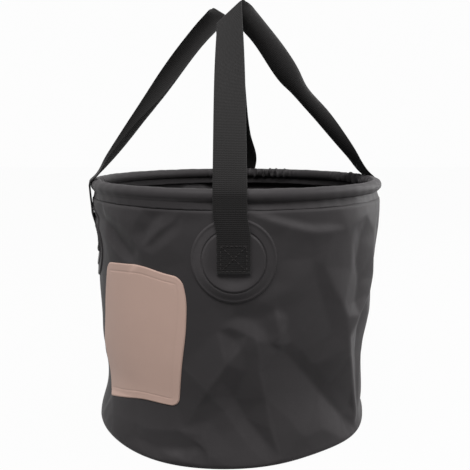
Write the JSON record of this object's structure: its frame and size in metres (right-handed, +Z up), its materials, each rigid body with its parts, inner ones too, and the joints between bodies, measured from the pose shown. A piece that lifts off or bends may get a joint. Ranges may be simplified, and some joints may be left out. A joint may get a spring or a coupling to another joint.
{
  "type": "collapsible bucket",
  "caption": "Soft round folding bucket with a stiff rim hoop, a blank label patch and webbing handles that fold over the middle.",
  "frame": {"origin": "centre of the base's underside, where the bucket stands", "axes": "+Z up along the bucket's axis; -Y is the front, where one handle leg is sewn to the wall and the label is to its left; +X is to the right as seen from the front"},
  "size_m": [0.2644, 0.2664, 0.3725],
  "materials": {
    "coated_fabric": "coated, satin",
    "webbing": "woven, matte",
    "label_film": "matte, embossed edge",
    "seam_tape": "satin",
    "hoop_plastic": "matte",
    "thread": "matte"
  },
  "bodies": {
    "base": {"side_wall": "coated_fabric", "base_panel": "coated_fabric", "seam_tape": "seam_tape", "label_patch": "label_film", "patch_flange_front": "coated_fabric", "patch_flange_right": "coated_fabric", "patch_flange_back": "coated_fabric", "patch_flange_left": "coated_fabric", "patch_disc_front": "coated_fabric", "patch_disc_right": "coated_fabric", "patch_disc_back": "coated_fabric", "patch_disc_left": "coated_fabric", "strap_end_front": "webbing", "strap_end_right": "webbing", "strap_end_back": "webbing", "strap_end_left": "webbing", "box_seam_front": "thread", "box_seam_right": "thread", "box_seam_back": "thread", "box_seam_left": "thread"},
    "rim": {"rim_sleeve": "coated_fabric", "rim_hoop": "hoop_plastic", "hoop_joiner": "hoop_plastic", "strap_rim_front": "webbing", "strap_rim_right": "webbing", "strap_rim_back": "webbing", "strap_rim_left": "webbing"},
    "handle_a": {"handle_a": "webbing"},
    "handle_b": {"handle_b": "webbing"}
  },
  "joints": [
    {"name": "collapse", "type": "slide", "parent": "base", "child": "rim", "axis": [0, 0, 1], "range_m": [-0.178, 0], "deforming": ["side_wall", "seam_tape", "label_patch", "patch_flange_front", "patch_flange_right", "patch_flange_back", "patch_flange_left", "patch_disc_front", "patch_disc_right", "patch_disc_back", "patch_disc_left", "strap_end_front", "strap_end_right", "strap_end_back", "strap_end_left", "box_seam_front", "box_seam_right", "box_seam_back", "box_seam_left"]},
    {"name": "handle_a_swing", "type": "hinge", "parent": "rim", "child": "handle_a", "pos_m": [0.05744, -0.04893, 0.23255], "axis": [0.6435, 0.7654, 0], "range_deg": [0, 114], "deforming": ["strap_rim_front", "strap_rim_right"]},
    {"name": "handle_b_swing", "type": "hinge", "parent": "rim", "child": "handle_b", "pos_m": [-0.05829, 0.04864, 0.23255], "axis": [-0.6431, -0.7658, 0], "range_deg": [0, 114], "deforming": ["strap_rim_back", "strap_rim_left"]}
  ]
}
